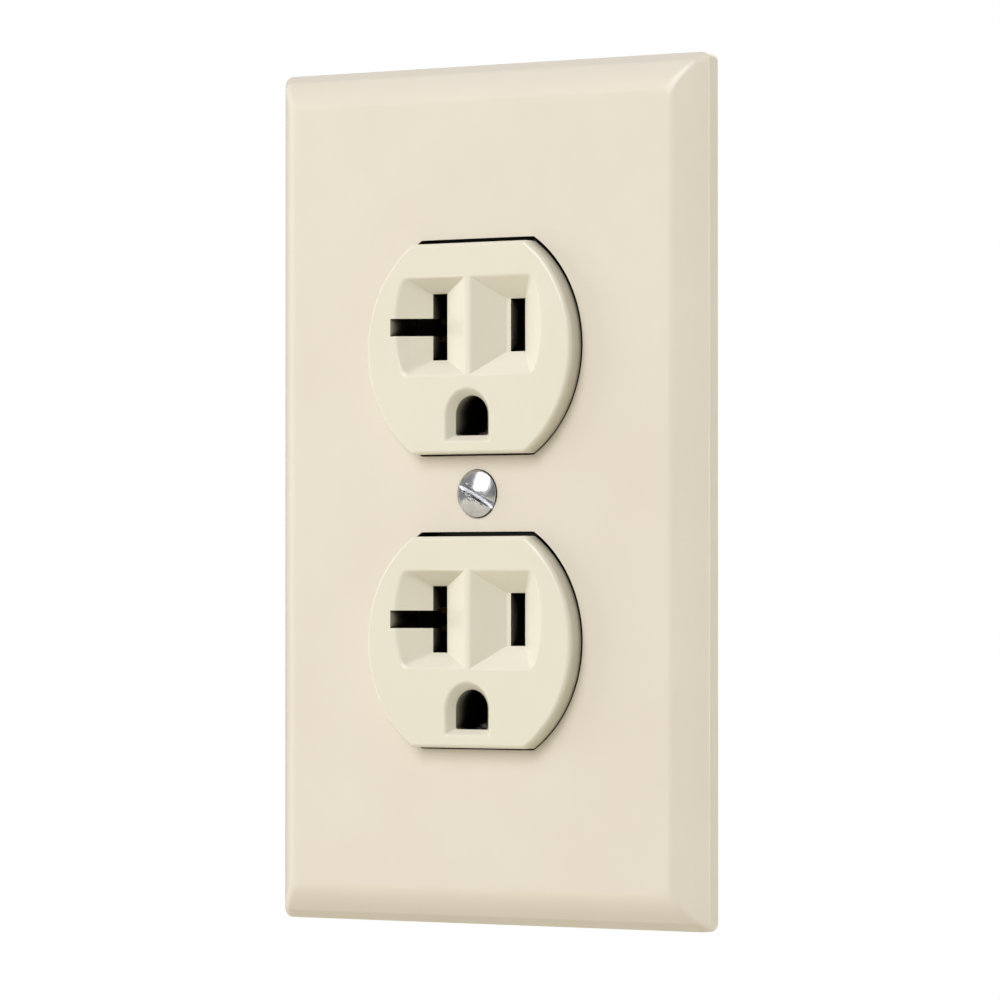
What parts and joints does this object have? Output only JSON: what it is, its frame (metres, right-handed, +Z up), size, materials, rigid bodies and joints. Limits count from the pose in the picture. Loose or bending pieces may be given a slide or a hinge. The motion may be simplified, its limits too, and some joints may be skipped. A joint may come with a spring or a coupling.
{
  "type": "duplex wall outlet",
  "caption": "Duplex wall outlet with T-slot blade openings, ground holes, one-gang cover plate and slotted screw, with its strap, contacts, terminals and back body.",
  "frame": {"origin": "on the plate screw's axis, in the plane of the wall surface (the strap's back and the plate's rim)", "axes": "+X right and +Z up as seen from the room, +Y into the wall, outlets face -Y"},
  "size_m": [0.0698, 0.0302, 0.1142],
  "materials": {
    "plate_ivory": "smooth ivory thermoplastic with a soft sheen",
    "face_ivory": "ivory moulded thermoplastic, slightly yellower than the plate",
    "body_grey": "dark grey moulded plastic",
    "zinc_steel": "zinc-plated steel",
    "nickel": "bright nickel plate",
    "brass": "plain brass",
    "green_plated": "green dyed zinc plate",
    "fibre": "brown vulcanised fibre"
  },
  "bodies": {
    "device": {"outlet_face": "face_ivory", "back_body": "body_grey", "mounting_strap": "zinc_steel", "line_contact": "brass", "neutral_contact": "brass", "ground_contact_upper": "brass", "ground_contact_lower": "brass", "ground_rivet_upper": "zinc_steel", "ground_rivet_lower": "zinc_steel", "retaining_washer_top": "fibre", "retaining_washer_bottom": "fibre", "assembly_screw_1": "zinc_steel", "assembly_screw_2": "zinc_steel", "assembly_screw_3": "zinc_steel", "assembly_screw_4": "zinc_steel"},
    "wall_plate": {"wall_plate": "plate_ivory"},
    "plate_screw": {"plate_screw": "nickel"},
    "line_pressure_plate_upper": {"line_pressure_plate_upper": "brass"},
    "line_screw_upper": {"line_screw_upper": "brass"},
    "line_pressure_plate_lower": {"line_pressure_plate_lower": "brass"},
    "line_screw_lower": {"line_screw_lower": "brass"},
    "neutral_pressure_plate_upper": {"neutral_pressure_plate_upper": "nickel"},
    "neutral_screw_upper": {"neutral_screw_upper": "nickel"},
    "neutral_pressure_plate_lower": {"neutral_pressure_plate_lower": "nickel"},
    "neutral_screw_lower": {"neutral_screw_lower": "nickel"},
    "ground_pressure_plate": {"ground_pressure_plate": "zinc_steel"},
    "ground_screw": {"ground_screw": "green_plated"},
    "box_screw_top": {"box_screw_top": "zinc_steel"},
    "box_screw_bottom": {"box_screw_bottom": "zinc_steel"}
  },
  "joints": [
    {"name": "plate_slide", "type": "slide", "parent": "device", "child": "wall_plate", "axis": [0, -1, 0], "range_m": [0, 0.00845]},
    {"name": "plate_screw_turn", "type": "hinge", "parent": "wall_plate", "child": "plate_screw", "pos_m": [0, -0.0051, 0], "axis": [0, -1, 0], "range_deg": [0, 3840]},
    {"name": "line_clamp_upper", "type": "slide", "parent": "device", "child": "line_pressure_plate_upper", "axis": [1, 0, 0], "range_m": [0, 0.00238]},
    {"name": "line_screw_turn_upper", "type": "hinge", "parent": "line_pressure_plate_upper", "child": "line_screw_upper", "pos_m": [0.0141, 0.0095, 0.0108], "axis": [1, 0, 0], "range_deg": [0, 1080]},
    {"name": "line_clamp_lower", "type": "slide", "parent": "device", "child": "line_pressure_plate_lower", "axis": [1, 0, 0], "range_m": [0, 0.00238]},
    {"name": "line_screw_turn_lower", "type": "hinge", "parent": "line_pressure_plate_lower", "child": "line_screw_lower", "pos_m": [0.0141, 0.0095, -0.0108], "axis": [1, 0, 0], "range_deg": [0, 1080]},
    {"name": "neutral_clamp_upper", "type": "slide", "parent": "device", "child": "neutral_pressure_plate_upper", "axis": [-1, 0, 0], "range_m": [0, 0.00238]},
    {"name": "neutral_screw_turn_upper", "type": "hinge", "parent": "neutral_pressure_plate_upper", "child": "neutral_screw_upper", "pos_m": [-0.0141, 0.0095, 0.0108], "axis": [-1, 0, 0], "range_deg": [0, 1080]},
    {"name": "neutral_clamp_lower", "type": "slide", "parent": "device", "child": "neutral_pressure_plate_lower", "axis": [-1, 0, 0], "range_m": [0, 0.00238]},
    {"name": "neutral_screw_turn_lower", "type": "hinge", "parent": "neutral_pressure_plate_lower", "child": "neutral_screw_lower", "pos_m": [-0.0141, 0.0095, -0.0108], "axis": [-1, 0, 0], "range_deg": [0, 1080]},
    {"name": "ground_clamp", "type": "slide", "parent": "device", "child": "ground_pressure_plate", "axis": [-1, 0, 0], "range_m": [0, 0.00238]},
    {"name": "ground_screw_turn", "type": "hinge", "parent": "ground_pressure_plate", "child": "ground_screw", "pos_m": [-0.0152, 0.0062, -0.0405], "axis": [-1, 0, 0], "range_deg": [0, 1080]},
    {"name": "box_screw_turn_top", "type": "hinge", "parent": "device", "child": "box_screw_top", "pos_m": [0, -0.00135, 0.04167], "axis": [0, -1, 0], "continuous": true},
    {"name": "box_screw_turn_bottom", "type": "hinge", "parent": "device", "child": "box_screw_bottom", "pos_m": [0, -0.00135, -0.04167], "axis": [0, -1, 0], "continuous": true}
  ],
  "couplings": [
    {"joint": "plate_screw_turn", "follows": "plate_slide", "rad_per_m": 7915.8},
    {"joint": "line_screw_turn_upper", "follows": "line_clamp_upper", "rad_per_m": 7915.8},
    {"joint": "line_screw_turn_lower", "follows": "line_clamp_lower", "rad_per_m": 7915.8},
    {"joint": "neutral_screw_turn_upper", "follows": "neutral_clamp_upper", "rad_per_m": 7915.8},
    {"joint": "neutral_screw_turn_lower", "follows": "neutral_clamp_lower", "rad_per_m": 7915.8},
    {"joint": "ground_screw_turn", "follows": "ground_clamp", "rad_per_m": 7915.8}
  ]
}
